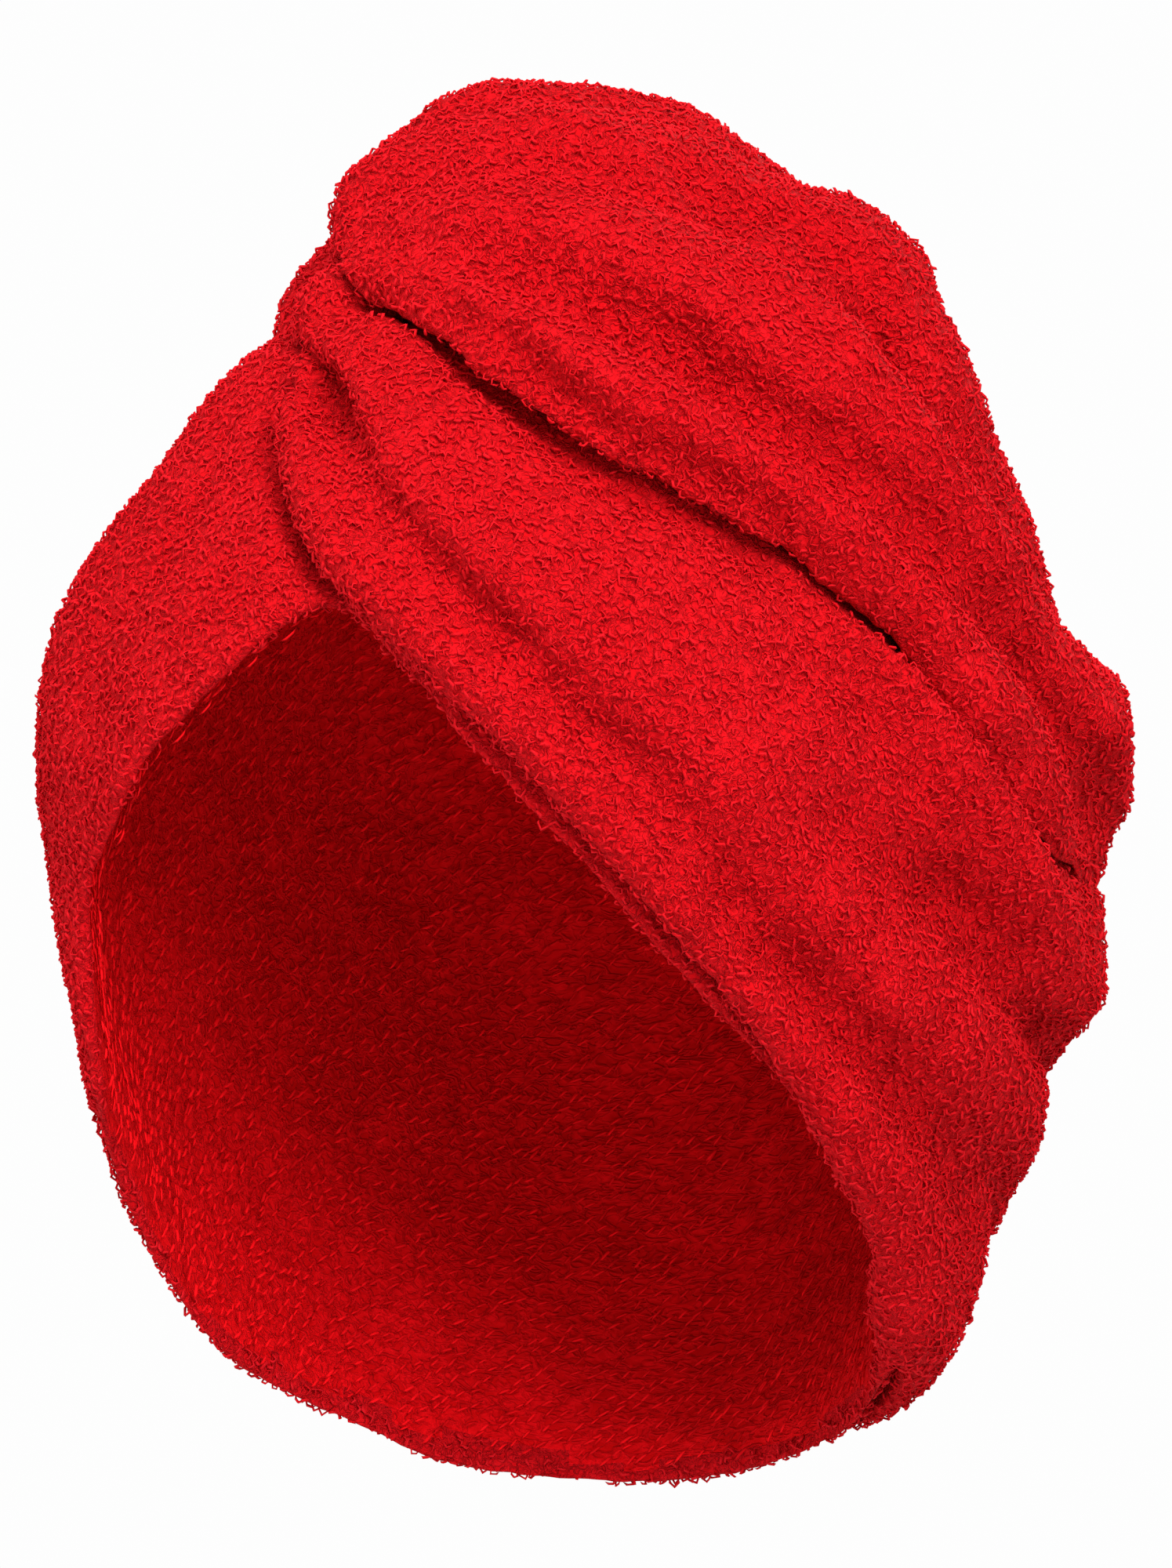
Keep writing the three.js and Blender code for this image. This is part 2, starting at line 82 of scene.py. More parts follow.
# %% [markdown]
# ## Writing shaders as sums
# A node graph is easier to read as arithmetic. `Wire` wraps one socket, so `1 - mask * 0.5` adds its
# own Math nodes. `Graph.add` makes any other node: its settings go in first, then its sockets.

# %% Wires and graphs
class Wire:
    def __init__(self, graph, socket):
        self.graph = graph
        self.socket = socket

    def maths(self, operation, *others):
        sockets = dict(enumerate((self, *others)))
        return self.graph.add("ShaderNodeMath", {"operation": operation}, sockets)

    def __add__(self, other):
        return self.maths("ADD", other)

    def __mul__(self, other):
        return self.maths("MULTIPLY", other)

    def __sub__(self, other):
        return self.maths("SUBTRACT", other)

    def __rsub__(self, other):
        return (self * -1) + other

    def held(self):
        return self.maths("MAXIMUM", 0.0).maths("MINIMUM", 1.0)

    __radd__ = __add__
    __rmul__ = __mul__


class Graph:
    def __init__(self, name):
        self.material = bpy.data.materials.new(name)
        self.material.use_nodes = True
        self.nodes = self.material.node_tree.nodes
        self.links = self.material.node_tree.links
        self.nodes.clear()

    def add(self, kind, settings=None, sockets=None, out=0):
        node = self.nodes.new(kind)
        for name, value in (settings or {}).items():
            setattr(node, name, value)
        for name, value in (sockets or {}).items():
            if isinstance(value, Wire):
                self.links.new(value.socket, node.inputs[name])
            else:
                node.inputs[name].default_value = value
        return Wire(self, node.outputs[out])

    def mix(self, factor, first, second):
        return self.add("ShaderNodeMix", {"data_type": "RGBA"}, {0: factor, 6: first, 7: second}, 2)

    def place(self, turn=(0, 0, 0), scale=(1, 1, 1)):
        spot = self.add("ShaderNodeTexCoord", out="Object")
        return self.add(
            "ShaderNodeMapping", {}, {"Vector": spot, "Rotation": turn, "Scale": scale},
        )

    def noise(self, spot, scale, detail=2.0, rough=0.5):
        return self.add("ShaderNodeTexNoise", {}, {
            "Vector": spot, "Scale": scale, "Detail": detail, "Roughness": rough,
        })

    def worms(self, spot, scale, swirl):
        """Thin winding ridges: bright where a noise field passes through its middle value."""
        field = self.add("ShaderNodeTexNoise", {}, {
            "Vector": spot, "Scale": scale, "Detail": 1.0, "Roughness": 0.4, "Distortion": swirl,
        })
        return (1 - (field * 2 - 1).maths("ABSOLUTE") * 4.5).held()

    def attribute(self, name):
        return self.add("ShaderNodeAttribute", {"attribute_name": name}, out="Fac")

    def bump(self, height, strength, distance):
        return self.add("ShaderNodeBump", {}, {
            "Height": height, "Strength": strength, "Distance": distance,
        })

    def cloth(self, colour, roughness, normal, sheen):
        skin = self.add("ShaderNodeBsdfPrincipled", {}, {
            "Base Color": colour, "Roughness": roughness, "Normal": normal,
            "Specular IOR Level": 0.06, "Sheen Weight": sheen, "Sheen Roughness": 0.5,
            "Sheen Tint": (1.0, 0.02, 0.03, 1.0),
        })
        output = self.nodes.new("ShaderNodeOutputMaterial")
        self.links.new(skin.socket, output.inputs["Surface"])
        return self.material


print("shader helpers ready")

# %% [markdown]
# ## Where the folds run
# The tail is twisted at the hairline and buttoned at the nape, so all folds fan out between those
# two points. A place on the turban is told by its fan angle (0 over the crown, growing toward the
# wearer's left) and by how far it is along the way from the twist to the nape.

# %% Fan angles and shares along
HEAD = np.array([0.086, 0.104, 0.097])
NECK_LENGTH = 0.170
LEAST_LIFT, MOST_LIFT = -0.03, 0.12


def direction(turn, tilt):
    turn, tilt = math.radians(turn), math.radians(tilt)
    flat = math.cos(tilt)
    return np.array([flat * math.sin(turn), -flat * math.cos(turn), math.sin(tilt)])


TWIST, NAPE = direction(-25, 52), direction(172, -38)
AXIS = (NAPE - TWIST) / np.linalg.norm(NAPE - TWIST)
OVER = np.array([0, 0, 1.0]) - AXIS * AXIS[2]
OVER /= np.linalg.norm(OVER)
LEFT = np.cross(AXIS, OVER)


def on_head(points):
    """Unit directions of points that stand off the head form by some even lift."""
    half = np.tile(HEAD, (len(points), 1))
    half[points[:, 2] < 0, 2] = NECK_LENGTH
    low, high = np.full(len(points), LEAST_LIFT), np.full(len(points), MOST_LIFT)
    for _ in range(16):
        lift = (low + high) / 2
        outside = np.linalg.norm(points / (half + lift[:, None]), axis=1) > 1
        low, high = np.where(outside, lift, low), np.where(outside, high, lift)
    way = points / (half + lift[:, None])
    return way / np.linalg.norm(way, axis=1)[:, None], lift


def fan_places(points):
    """Fan angle in degrees, share along, and lift off the head form of each point."""
    way, lift = on_head(points)
    off = way - TWIST
    fan = np.arctan2(off @ LEFT, off @ OVER)
    out = np.cos(fan)[:, None] * OVER + np.sin(fan)[:, None] * LEFT
    normal = np.cross(AXIS, out)
    centre = normal * (normal @ TWIST)[:, None]
    first = TWIST - centre
    first /= np.linalg.norm(first, axis=1)[:, None]
    second = np.cross(normal, first)
    second *= np.sign((second * out).sum(1))[:, None]

    def swept(target):
        arm = target - centre
        return np.arctan2((arm * second).sum(1), (arm * first).sum(1)) % (2 * math.pi)

    return np.degrees(fan), swept(way) / swept(NAPE), lift


print("twist at", TWIST.round(3), "nape at", NAPE.round(3))

# %% [markdown]
# ## From solids to cloth
# The solids have flat facets. A copy of each is merged, given even square faces by the voxel
# remesher and smoothed, which turns the facets into soft folds. The hood's wall is thin, so it is
# subdivided instead, and it keeps its thickness.

# %% Mesh helpers
def points_of(piece):
    flat = np.empty(len(piece.data.vertices) * 3, np.float32)
    piece.data.vertices.foreach_get("co", flat)
    return flat.reshape(-1, 3).astype(float)


def normals_of(piece):
    flat = np.empty(len(piece.data.vertices) * 3, np.float32)
    piece.data.vertex_normals.foreach_get("vector", flat)
    return flat.reshape(-1, 3).astype(float)


def move_points(piece, points):
    piece.data.vertices.foreach_set("co", points.astype(np.float32).ravel())
    piece.data.update()


def count_triangles(piece):
    return sum(len(face.vertices) - 2 for face in piece.data.polygons)


def settle(piece):
    """Makes what the modifiers show the piece's own mesh."""
    graph = bpy.context.evaluated_depsgraph_get()
    mesh = bpy.data.meshes.new_from_object(piece.evaluated_get(graph))
    piece.modifiers.clear()
    piece.data = mesh
    mesh.name = piece.name
    return piece


def cloth_copy(node, name, square):
    """A merged copy of a solid. With square set, triangles are joined to four-sided faces."""
    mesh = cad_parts[node].data.copy()
    mesh.materials.clear()
    if "UVMap" in mesh.attributes:
        mesh.attributes.remove(mesh.attributes["UVMap"])
    body = bmesh.new()
    body.from_mesh(mesh)
    bmesh.ops.remove_doubles(body, verts=body.verts, dist=1e-6)
    if square:
        bmesh.ops.join_triangles(
            body, faces=body.faces, angle_face_threshold=1.2, angle_shape_threshold=3.1,
        )
    body.to_mesh(mesh)
    body.free()
    piece = bpy.data.objects.new(name, mesh)
    bpy.context.scene.collection.objects.link(piece)
    return piece


def soften(piece, rounds):
    """Rounds off facets and keeps the folds full: each step in is followed by a step back out."""
    body = bmesh.new()
    body.from_mesh(piece.data)
    for factor in (0.5, -0.53) * rounds:
        bmesh.ops.smooth_vert(
            body, verts=body.verts, factor=factor, use_axis_x=True, use_axis_y=True, use_axis_z=True,
        )
    body.to_mesh(piece.data)
    body.free()


print("mesh helpers ready")

# %% Make the three cloth bodies
VOXEL, SMOOTHING_ROUNDS = 0.0024, 12
hood = cloth_copy("hood", "hood_cloth", True)
rounding = hood.modifiers.new("rounding", "SUBSURF")
rounding.levels = rounding.render_levels = 2
settle(hood)
wraps = {}
for node, name in (("side_fold", "side_fold_cloth"), ("tail", "tail_cloth")):
    wrap = cloth_copy(node, name, False)
    even = wrap.modifiers.new("even faces", "REMESH")
    even.mode = "VOXEL"
    even.voxel_size = VOXEL
    settle(wrap)
    soften(wrap, SMOOTHING_ROUNDS)
    wraps[node] = wrap
side_fold, tail = wraps["side_fold"], wraps["tail"]
for piece in (hood, side_fold, tail):
    print(piece.name, count_triangles(piece), "triangles")

# %% [markdown]
# ## Creases that the pull of the twist leaves
# Between the folds the towelling is drawn in. Each crease follows a line of fan angles, from a short
# table, and sinks by its own depth over its own width, both in millimetres. A negative depth raises a
# soft ridge, such as the one that brings the side fold up against the tail's lower edge. Single lumps
# have a table of their own, with a height and a radius in millimetres.

# %% Draw the creases in
# Each point's crease depth is kept as "fold", and yarn and ground are painted darker by it: painted shade
# in the creases.
PAINTED_SHADE_FULL_DEPTH = {"wraps": 0.005, "hood": 0.006}
CREASE_COLUMNS = ("along", "fan", "depth", "width")
WRAP_CREASES = {
    "hem": [
        (0.03, 98, 5.0, 2.2), (0.055, 114, 7.0, 2.4), (0.08, 120, 7.5, 2.6), (0.105, 122.5, 5.6, 2.4),
        (0.125, 124.5, 2.8, 2.6), (0.17, 128, 3.6, 3.0), (0.215, 127.0, 4.4, 3.2),
        (0.26, 125, 4.2, 3.4), (0.34, 122.5, 3.0, 4.0),
        (0.43, 116.4, 2.6, 4.0), (0.49, 112.6, 2.4, 4.0),
    ],
    "under roll": [
        (0.08, 70, 1.5, 3.0), (0.11, 85, 2.4, 3.4), (0.15, 96, 3.6, 3.8), (0.21, 101, 4.2, 4.0),
        (0.26, 102, 4.4, 4.0), (0.30, 98, 4.0, 4.0), (0.35, 95.6, 2.4, 4.0), (0.39, 96.0, 1.8, 4.2),
        (0.43, 97.0, 2.2, 4.6), (0.48, 97.0, 3.0, 5.2), (0.53, 96.0, 3.4, 5.2), (0.57, 94.4, 3.2, 5.0),
        (0.62, 90.5, 2.4, 5.0), (0.66, 85, 1.4, 5.0),
    ],
    "upper": [
        (0.15, 80, 3.0, 4.0), (0.20, 84, 4.0, 4.4), (0.26, 86.6, 5.0, 4.8), (0.31, 88, 5.6, 5.4),
        (0.36, 85, 5.6, 6.0), (0.41, 83, 4.8, 6.0), (0.45, 81.5, 4.2, 5.4), (0.50, 79.4, 4.4, 5.0),
        (0.55, 77.3, 4.6, 5.0), (0.60, 72.2, 4.0, 5.0), (0.66, 64, 2.5, 5.0),
    ],
    "crown": [
        (0.22, 59, 3.0, 5.0), (0.25, 61, 4.2, 6.0), (0.28, 59, 5.0, 6.4), (0.32, 62, 5.2, 6.4),
        (0.36, 69, 5.0, 6.0), (0.40, 73, 3.5, 5.0),
    ],
    "ridge": [
        (0.17, 47.5, -2.0, 5.0), (0.24, 66, -2.6, 5.0), (0.28, 72, -2.8, 5.0),
        (0.33, 76.6, -2.8, 4.6), (0.37, 77.5, -2.4, 4.6), (0.43, 76, -2.0, 4.6), (0.47, 74, -1.6, 4.6),
    ],
    "across the band": [
        (0.44, 108.5, 2.0, 4.0), (0.47, 105, 3.0, 4.6), (0.52, 99.3, 3.6, 4.6), (0.57, 92.6, 3.6, 4.6),
        (0.63, 83.2, 2.8, 4.6),
    ],
    "low band": [
        (0.45, 117, 2.4, 3.0), (0.50, 112.2, 4.0, 3.2), (0.55, 108.6, 4.6, 3.4), (0.59, 105.3, 4.4, 3.4),
        (0.64, 101.1, 3.4, 3.4), (0.69, 97, 2.0, 3.4),
    ],
}
UNDER_THE_TAIL = {
    "meeting": [
        (0.38, 95.4, -2.0, 4.4), (0.43, 93.2, -6.5, 5.0), (0.48, 92.8, -6.5, 5.0),
        (0.52, 91.8, -6.5, 5.0), (0.57, 89.8, -6.5, 5.0), (0.62, 85.4, -6.0, 5.0),
        (0.66, 80.5, -5.0, 5.0),
    ],
}
WAY_IN_DEGREES, CLOSE_IN_DEGREES = 180, 4
SWELL_COLUMNS = ("along", "fan", "height", "radius")
SWELLS = [
    (0.12, 21.6, 2.8, 15), (0.155, 29.4, 2.2, 13), (0.18, 34.5, 1.6, 14), (0.25, 42.1, 2.8, 9),
    (0.355, 50.0, 2.8, 10), (0.64, 72.1, 4.4, 10), (0.545, 62.5, -2.4, 9), (0.385, 52.6, -2.8, 9),
    (0.142, 27.8, 2.2, 5), (0.128, 24.6, -2.4, 4), (0.21, 38.2, -2.2, 4.5), (0.20, 36.6, 1.2, 5),
    (0.235, 40.3, 1.4, 5), (0.70, 81.0, 1.8, 9), (0.48, 57.1, 1.6, 8), (0.275, 44.2, -1.2, 5),
    (0.685, 110, 5.0, 11), (0.725, 106.5, 4.0, 8),
]
HOOD_CREASES = {
    "beside the hem": [
        (0.05, 148, 3.0, 3.5), (0.09, 147, 3.2, 3.5), (0.14, 145.5, 3.2, 3.2), (0.17, 143.6, 2.6, 3.0),
        (0.20, 141, 1.6, 3.0),
    ],
    "brow strip": [
        (0.04, 201, 1.6, 3.4), (0.09, 194, 2.2, 3.4), (0.12, 199, 2.2, 3.4), (0.16, 206.5, 2.2, 3.4),
        (0.19, 216, 1.6, 3.4),
    ],
}


def sinking(points, creases):
    """How deep each point is drawn in, in metres. Fans run on past 180 so a line has no break."""
    fan, along, lift = fan_places(points)
    fan = np.where(fan < -100, fan + 360, fan)
    depth = np.zeros(len(points))
    across = (0.09 + lift) * np.sin(np.pi * np.clip(along, 0.05, 0.95))
    for rows in creases.values():
        table = dict(zip(CREASE_COLUMNS, np.array(rows).T))
        line, deep, width = (
            np.interp(along, table["along"], table[name]) for name in ("fan", "depth", "width")
        )
        first, last = table["along"][0], table["along"][-1]
        ends = np.clip(np.minimum(along - first + 0.03, last + 0.03 - along) / 0.05, 0, 1)
        away = np.radians(fan - line) * across
        depth += deep * ends * np.exp(-((away / (width / 1000)) ** 2)) / 1000
    return depth


def outwardness(piece, points):
    return (normals_of(piece) * points).sum(1) / np.linalg.norm(points, axis=1)


def mark(piece, name, values):
    layer = piece.data.attributes.new(name, "FLOAT", "POINT")
    layer.data.foreach_set("value", values.astype(np.float32))


def swelling(points):
    """Lumps in the outline. A lump grows only on a piece that has cloth close to its middle."""
    fan, along, _ = fan_places(points)
    rise = np.zeros(len(points))
    for row in SWELLS:
        spot = dict(zip(SWELL_COLUMNS, row))
        miss = np.hypot((along - spot["along"]) * WAY_IN_DEGREES, fan - spot["fan"])
        middle = points[np.argmin(miss)]
        if miss.min() < CLOSE_IN_DEGREES:
            away = np.linalg.norm(points - middle, axis=1) * 1000
            rise += spot["height"] / 1000 * np.exp(-((away / spot["radius"]) ** 2))
    return rise


for piece in (side_fold, tail):
    points = points_of(piece)
    points += normals_of(piece) * swelling(points)[:, None]
    move_points(piece, points)
    depth = sinking(points, WRAP_CREASES) * np.clip(outwardness(piece, points) * 3, 0, 1)
    if piece is side_fold:
        depth += sinking(points, UNDER_THE_TAIL) * (outwardness(piece, points) > 0.3)
    move_points(piece, points - normals_of(piece) * depth[:, None])
    # "fold" carries painted shade: the colour is darkened in the creases by it.
    mark(piece, "fold", np.clip(depth / PAINTED_SHADE_FULL_DEPTH["wraps"], 0, 1))
    print(piece.name, "drawn in by up to", round(depth.max() * 1000, 1), "mm")
points = points_of(hood)
depth = sinking(points, HOOD_CREASES)
move_points(hood, points * (1 - depth / np.linalg.norm(points, axis=1))[:, None])
# "fold" carries painted shade on the hood too: its colour is darkened in the creases.
mark(hood, "fold", np.clip(depth / PAINTED_SHADE_FULL_DEPTH["hood"], 0, 1))
print("hood drawn in, both faces alike, by up to", round(depth.max() * 1000, 1), "mm")

# %% [markdown]
# ## Slack in the towelling
# Heavy terry never lies quite even. Cloud textures of different size push the surface in and out by
# a millimetre or so, and the outer layers step back a little to leave room for their pile. The wide
# waves are left out of the hood, which lies smooth on the head.

# %% Let the cloth ripple
PILE_ROOM = 0.0006
RIPPLE_COLUMNS = ("size", "strength", "on the hood")
RIPPLES = [(0.040, 0.0032, False), (0.022, 0.0026, True), (0.007, 0.0012, True)]


def ripple(piece, size, strength):
    cloud = bpy.data.textures.new(f"ripple {size}", "CLOUDS")
    cloud.noise_scale = size
    cloud.noise_depth = 2
    wave = piece.modifiers.new("ripple", "DISPLACE")
    wave.texture = cloud
    wave.texture_coords = "LOCAL"
    wave.strength = strength
    wave.mid_level = 0.5


for piece in (side_fold, tail):
    move_points(piece, points_of(piece) - normals_of(piece) * PILE_ROOM)
for piece in (hood, side_fold, tail):
    for row in RIPPLES:
        wave = dict(zip(RIPPLE_COLUMNS, row))
        if wave["on the hood"] or piece is not hood:
            ripple(piece, wave["size"], wave["strength"])
    settle(piece)
print("rippled", [piece.name for piece in (hood, side_fold, tail)])

# %% [markdown]
# ## Where pile can stand
# Loops grow only on open cloth. A ray from each point along its normal finds the places where
# another layer lies within a few millimetres, and those stay bare. The head side of the hood is told
# apart, because its pile is pressed flat by the head. Points where the hood is the only layer are
# marked too: the lining is painted lighter there, painted light standing in for daylight through it.

# %% Mark the open cloth
RAY_START = 0.0006
HOOD_ROOM, WRAP_ROOM = 0.0018, 0.0032
TURNED_IN = -0.7
BACK_FROM = 0.012
COVER_REACH, COVER_ROUNDS = 0.06, 40


def tree_of(piece):
    faces = [list(face.vertices) for face in piece.data.polygons]
    return BVHTree.FromPolygons([Vector(p) for p in points_of(piece)], faces)


def evened(piece, values, rounds):
    """Spreads values over a mesh: each round gives every point the mean of its neighbours."""
    ends = np.empty(len(piece.data.edges) * 2, np.int32)
    piece.data.edges.foreach_get("vertices", ends)
    one, two = ends[::2], ends[1::2]
    count = np.bincount(ends, minlength=len(values))
    for _ in range(rounds):
        total = np.bincount(one, values[two], len(values)) + np.bincount(two, values[one], len(values))
        values = total / count
    return values


def single_layer(piece, covers):
    """One where the cloth is the only layer and zero under others; this share paints the lining lighter,
    as painted light.
    """
    alone = np.ones(len(piece.data.vertices))
    for i, point in enumerate(points_of(piece)):
        out = Vector(point).normalized()
        if any(tree.ray_cast(Vector(point), out, COVER_REACH)[0] is not None for tree in covers):
            alone[i] = 0
    return evened(piece, alone, COVER_ROUNDS)


trees = [tree_of(piece) for piece in (hood, side_fold, tail)]
# "thin" feeds painted light: the lining colour is lighter where the hood is the only layer.
mark(hood, "thin", single_layer(hood, trees[1:]))
for piece in (hood, side_fold, tail):
    points, normals = points_of(piece), normals_of(piece)
    clear = np.ones(len(points))
    room = HOOD_ROOM if piece is hood else WRAP_ROOM
    for i, (point, normal) in enumerate(zip(points, normals)):
        start = Vector(point + normal * RAY_START)
        for tree in trees:
            if tree.ray_cast(start, Vector(normal), room)[0] is not None:
                clear[i] = 0
                break
    inside = np.zeros(len(points))
    if piece is hood:
        inside = (outwardness(piece, points) < TURNED_IN).astype(float)
    back = (points[:, 1] > BACK_FROM).astype(float)
    mark(piece, "outer_all", clear * (1 - inside))
    mark(piece, "outer_front", clear * (1 - inside) * (1 - back))
    mark(piece, "outer_back", clear * (1 - inside) * back)
    mark(piece, "lining", clear * inside)
    mark(piece, "head_side", inside)
    print(piece.name, "open share", round(float(clear.mean()), 3))

# %% [markdown]
# ## One loop of yarn
# A terry loop is a curl of soft yarn that rises from the ground cloth and comes back a little to one
# side. Spinning a three-sided ring of points through part of a turn makes the bow, and poking both end
# faces outward draws them to points, which close the tube and sink into the cloth. A curl has about
# twenty triangles, so tens of thousands of them still make a light mesh.

# %% Spin the curls
def curl(name, bow, yarn, drift, steps, sweep, legs, squash=1.0):
    """One loop: a bow of yarn that is swept through some degrees and drifts sideways at each step."""
    body = bmesh.new()
    bmesh.ops.create_circle(body, cap_ends=True, segments=3, radius=yarn)
    start = math.radians(90 + sweep / 2)
    middle = legs * math.cos(math.radians((sweep - 180) / 2)) * 0.55
    bmesh.ops.rotate(
        body, verts=body.verts, cent=(0, 0, 0), matrix=Matrix.Rotation(-start, 3, "Y"),
    )
    bmesh.ops.translate(
        body, verts=body.verts,
        vec=(bow * math.cos(start), -drift * steps / 2, middle + bow * math.sin(start)),
    )
    bmesh.ops.spin(
        body, geom=body.faces[:], cent=(0, 0, middle), axis=(0, 1, 0), dvec=(0, drift, 0),
        angle=math.radians(sweep), steps=steps, use_merge=False, use_duplicate=False,
        use_normal_flip=False,
    )
    bmesh.ops.recalc_face_normals(body, faces=body.faces)
    caps = [face for face in body.faces if len(face.verts) == 3]
    bmesh.ops.poke(body, faces=caps, offset=legs, center_mode="MEAN")
    bmesh.ops.scale(body, verts=body.verts, vec=(1, 1, squash))
    bmesh.ops.recalc_face_normals(body, faces=body.faces)
    for face in body.faces:
        face.smooth = True
    mesh = bpy.data.meshes.new(name)
    body.to_mesh(mesh)
    body.free()
    piece = bpy.data.objects.new(name, mesh)
    heights = points_of(piece)[:, 2]
    # "tip" runs from 0 at the root to 1 at the top; the yarn is painted lighter toward it and darker at
    # the root.
    mark(piece, "tip", (heights - heights.min()) / (heights.max() - heights.min()))
    print(
        name, count_triangles(piece), "triangles, from", round(heights.min() * 1000, 2),
        "to", round(heights.max() * 1000, 2), "mm",
    )
    return piece


def basket(name, members):
    group = bpy.data.collections.new(name)
    for member in members:
        group.objects.link(member)
    return group


outer_curls = basket("outer curls", [
    curl("curl_a", 0.00072, 0.00028, 0.00016, 2, 170, 0.0009),
    curl("curl_b", 0.00064, 0.00027, 0.00022, 3, 240, 0.0007),
    curl("curl_c", 0.00086, 0.00028, 0.00014, 2, 190, 0.0008),
    curl("curl_d", 0.00060, 0.00030, 0.00010, 2, 150, 0.0008),
])
flat_curls = basket("flat curls", [
    curl("flat_a", 0.0024, 0.00036, 0.00010, 1, 34, 0.0014, 0.8),
    curl("flat_b", 0.0020, 0.00034, 0.00030, 1, 40, 0.0011, 0.8),
])

# %% [markdown]
# ## Sowing the pile
# Geometry Nodes scatter the curls: points that keep their distance from each other, one curl picked
# for each, turned at random round the normal and tipped over. Each curl carries its own random shade
# to the finished mesh, and the instances are made real, so the pile is plain geometry at the end.

# %% The sowing graph
def sow(name, ground, mask, curls, spacing, lean, size, seed, flow=None):
    tree = bpy.data.node_groups.new(name, "GeometryNodeTree")
    tree.interface.new_socket("Geometry", in_out="INPUT", socket_type="NodeSocketGeometry")
    tree.interface.new_socket("Geometry", in_out="OUTPUT", socket_type="NodeSocketGeometry")

    def node(kind, settings=None, **sockets):
        made = tree.nodes.new(kind)
        for key, value in (settings or {}).items():
            setattr(made, key, value)
        for key, value in sockets.items():
            socket = made.inputs[key.replace("_", " ")]
            if isinstance(value, bpy.types.NodeSocket):
                tree.links.new(value, socket)
            else:
                socket.default_value = value
        return made

    def chance(low, high, offset):
        made = node("FunctionNodeRandomValue", {"data_type": "FLOAT"})
        made.inputs[2].default_value = low
        made.inputs[3].default_value = high
        made.inputs["Seed"].default_value = seed * 10 + offset
        return made.outputs[1]

    def angles(x=0.0, z=0.0):
        made = node("ShaderNodeCombineXYZ")
        for axis, value in (("X", x), ("Z", z)):
            if isinstance(value, bpy.types.NodeSocket):
                tree.links.new(value, made.inputs[axis])
            else:
                made.inputs[axis].default_value = value
        return made.outputs[0]

    start = node("NodeGroupInput")
    share = node("GeometryNodeInputNamedAttribute", {"data_type": "FLOAT"}, Name=mask)
    spread = node(
        "GeometryNodeDistributePointsOnFaces", {"distribute_method": "POISSON"},
        Mesh=start.outputs[0], Distance_Min=spacing, Density_Max=2.2 / spacing**2,
        Density_Factor=share.outputs[0], Seed=seed,
    )
    rotation = spread.outputs["Rotation"]
    if flow is not None:
        combed = node(
            "FunctionNodeAlignRotationToVector", {"axis": "X", "pivot_axis": "Z"},
            Rotation=rotation, Vector=flow,
        )
        rotation = combed.outputs[0]
        spin = chance(-0.28, 0.28, 1)
    else:
        spin = chance(0.0, 2 * math.pi, 1)
    turned = node(
        "FunctionNodeRotateRotation", {"rotation_space": "LOCAL"},
        Rotation=rotation, Rotate_By=angles(z=spin),
    )
    tipped = node(
        "FunctionNodeRotateRotation", {"rotation_space": "LOCAL"},
        Rotation=turned.outputs[0], Rotate_By=angles(x=chance(*lean, 2)),
    )
    pick = node("GeometryNodeCollectionInfo", Collection=curls, Separate_Children=True)
    sown = node(
        "GeometryNodeInstanceOnPoints", Points=spread.outputs["Points"],
        Instance=pick.outputs[0], Pick_Instance=True, Rotation=tipped.outputs[0],
        Scale=chance(*size, 3),
    )
    shade = node(
        "GeometryNodeStoreNamedAttribute", {"data_type": "FLOAT", "domain": "INSTANCE"},
        Geometry=sown.outputs[0], Name="shade", Value=chance(0.0, 1.0, 4),
    )
    real = node("GeometryNodeRealizeInstances", Geometry=shade.outputs[0])
    end = node("NodeGroupOutput")
    tree.links.new(real.outputs[0], end.inputs[0])

    pile = bpy.data.objects.new(name, ground.data.copy())
    bpy.context.scene.collection.objects.link(pile)
    sowing = pile.modifiers.new("sowing", "NODES")
    sowing.node_group = tree
    settle(pile)
    print(name, count_triangles(pile), "triangles")
    return pile


print("sowing graph ready")

# %% Sow every open face
OUTER = dict(curls=outer_curls, spacing=0.00152, lean=(0.55, 1.35), size=(0.85, 1.25))
BACK = dict(OUTER, spacing=0.00160, size=(0.90, 1.30))
LINING = dict(
    curls=flat_curls, spacing=0.0022, lean=(-0.6, 0.6), size=(0.8, 1.2), flow=(0.80, 0.32, 0.52),
)
piles = {
    "hood_pile_front": sow("hood_pile_front", hood, "outer_front", seed=3, **OUTER),
    "hood_pile_back": sow("hood_pile_back", hood, "outer_back", seed=8, **BACK),
    "side_fold_pile": sow("side_fold_pile", side_fold, "outer_all", seed=4, **OUTER),
    "tail_pile_front": sow("tail_pile_front", tail, "outer_front", seed=5, **OUTER),
    "tail_pile_back": sow("tail_pile_back", tail, "outer_back", seed=6, **BACK),
    "lining_pile": sow("lining_pile", hood, "lining", seed=7, **LINING),
}
print("pile in all:", sum(count_triangles(p) for p in piles.values()), "triangles")

# %% [markdown]
# ## Red cotton
# Dyed cotton yarn is a deep, warm red. Each curl is painted brighter toward its tip, a painted highlight,
# and darker at its roots and in the creases, painted shade. Each curl has its own random tone. The ground
# cloth under it has winding ridges, as colour and as bump, that read as more pile further down, with
# painted shade between them and a painted highlight on top. The lining is painted lighter where it is the
# only layer, painted light as if daylight came through it, and its yarn is streaked on a slant.

# %% Materials of the towelling
LINING_TURN, STREAK, GROUND_STREAK = (0, 0.58, 0.38), (0.25, 1, 1), (0.4, 1, 1)


